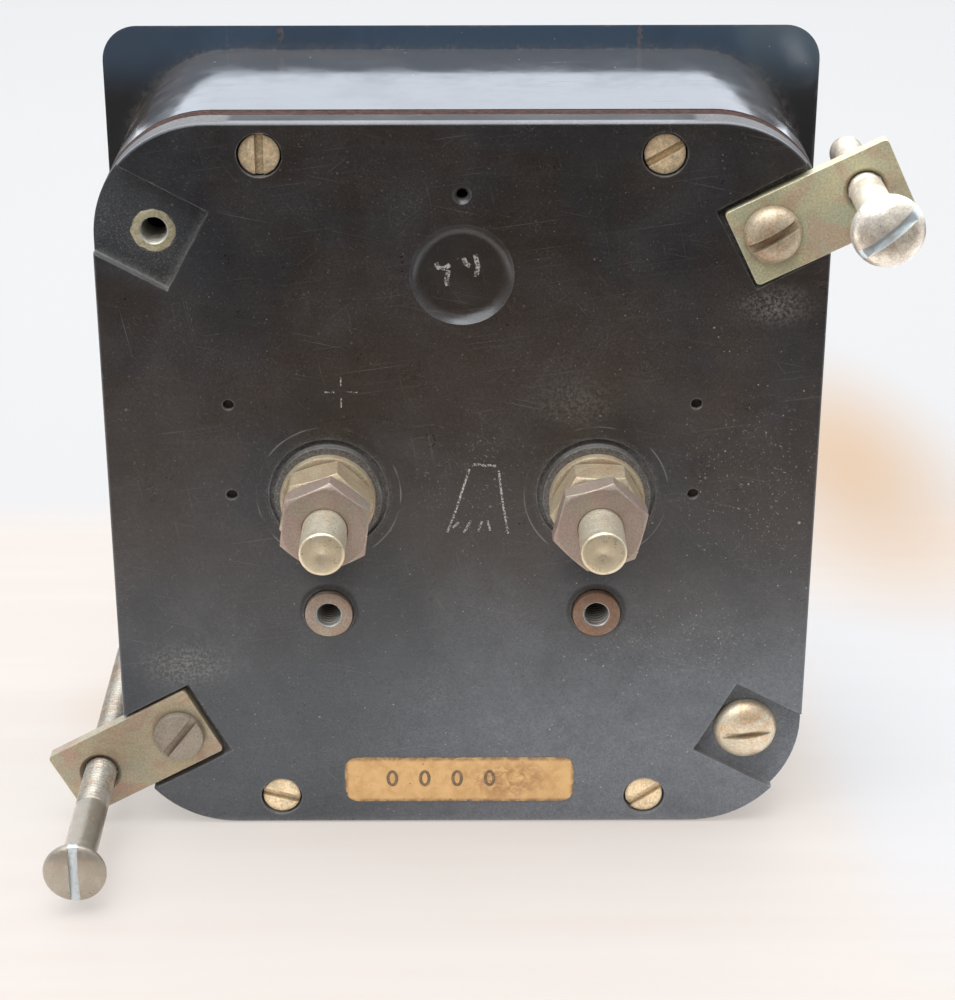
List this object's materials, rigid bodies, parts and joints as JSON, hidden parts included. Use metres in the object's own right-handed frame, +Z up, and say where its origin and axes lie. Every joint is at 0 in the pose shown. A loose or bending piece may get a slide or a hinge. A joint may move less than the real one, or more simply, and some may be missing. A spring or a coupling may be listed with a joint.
{
  "type": "panel galvanometer",
  "caption": "Moving-coil galvanometer in a square black moulded case with a front flange, rear terminals and corner clamp bars with jack screws.",
  "frame": {"origin": "centre of the flange's rear face, the plane that seats on the panel", "axes": "+Y out of the back towards the terminals, the dial faces -Y, +Z up, so +X is to the right when the dial is read"},
  "size_m": [0.1245, 0.0877, 0.1158],
  "materials": {
    "bakelite": "aged black moulded phenolic, glossy on the sides, dusty and scratched on the back",
    "gasket": "dark reddish-brown fibre gasket",
    "brass": "aged brass with darker oxide in the slots",
    "plated_steel": "dull plated steel gone olive and yellow",
    "stud_plating": "bright nickel plating, worn at the end",
    "nut_plating": "tarnished plated brass with pinkish faces",
    "copper": "bare copper, dull",
    "paper": "worn orange-tan paper",
    "glass": "clear flat glass",
    "black_paint": "semi-matt black paint",
    "scale_paint": "cream enamel, slightly yellowed",
    "magnet_steel": "blued magnet steel",
    "soft_iron": "machined soft iron",
    "aluminium": "cast and turned aluminium",
    "phenolic": "brown laminated phenolic",
    "silk": "green silk-covered wire",
    "enamelled_wire": "red-brown enamelled copper wire"
  },
  "bodies": {
    "case": {"case_shell": "bakelite", "gasket": "gasket", "back_plate": "bakelite", "case_screws": "brass", "terminal_studs": "stud_plating", "terminal_washers": "plated_steel", "terminal_nuts": "nut_plating", "rear_bushes": "copper", "corner_inserts": "brass", "clamp_bars": "plated_steel", "clamp_screws": "plated_steel", "spare_screw": "plated_steel", "label": "paper", "window_glass": "glass", "window_retainer": "black_paint", "window_screws": "brass", "scale_plate": "scale_paint", "scale_posts": "brass", "scale_screws": "brass", "pointer_stops": "brass", "magnet": "magnet_steel", "pole_pieces": "soft_iron", "core": "soft_iron", "core_holders": "brass", "core_screws": "brass", "movement_base": "aluminium", "frame_pillars": "brass", "frame_screws": "brass", "magnet_screws": "brass", "bridge_posts": "brass", "front_bridge": "brass", "rear_bridge": "brass", "bridge_screws": "brass", "jewel_screws": "brass", "front_hairspring": "brass", "rear_hairspring": "brass", "inner_nuts": "nut_plating", "terminal_lugs": "copper", "lead_wires": "enamelled_wire", "resistor_bobbin": "phenolic", "resistor_winding": "silk", "resistor_screw": "brass"},
    "moving_coil": {"coil_former": "aluminium", "coil_winding": "enamelled_wire", "coil_staffs": "soft_iron", "pointer": "aluminium", "balance_weights": "copper"},
    "zero_arm": {"zero_adjuster": "brass"},
    "zero_screw": {"zero_adjust_screw": "bakelite", "zero_screw_clip": "plated_steel"},
    "upper_jack": {"upper_jack_screw": "plated_steel"},
    "lower_jack": {"lower_jack_screw": "plated_steel"},
    "left_nut": {"outer_nut_left": "nut_plating"},
    "right_nut": {"outer_nut_right": "nut_plating"}
  },
  "joints": [
    {"name": "coil_swing", "type": "hinge", "parent": "case", "child": "moving_coil", "pos_m": [0, 0, -0.02], "axis": [0, 1, 0], "range_deg": [-45, 45], "stiffness_Nm_per_rad": 0.00003, "deforming": ["front_hairspring", "rear_hairspring"]},
    {"name": "zero_turn", "type": "hinge", "parent": "case", "child": "zero_screw", "pos_m": [0, 0, -0.031], "axis": [0, 1, 0], "range_deg": [-45, 45]},
    {"name": "zero_arm_swing", "type": "hinge", "parent": "case", "child": "zero_arm", "pos_m": [0, 0, -0.02], "axis": [0, 1, 0], "range_deg": [-6.2, 6.2]},
    {"name": "upper_jack_travel", "type": "slide", "parent": "case", "child": "upper_jack", "axis": [0, 1, 0], "range_m": [-0.017, 0.017]},
    {"name": "lower_jack_travel", "type": "slide", "parent": "case", "child": "lower_jack", "axis": [0, 1, 0], "range_m": [-0.002, 0.038]},
    {"name": "left_nut_travel", "type": "slide", "parent": "case", "child": "left_nut", "axis": [0, 1, 0], "range_m": [0, 0.008]},
    {"name": "right_nut_travel", "type": "slide", "parent": "case", "child": "right_nut", "axis": [0, 1, 0], "range_m": [0, 0.008]}
  ],
  "couplings": [
    {"joint": "zero_arm_swing", "follows": "zero_turn", "ratio": -0.135}
  ]
}
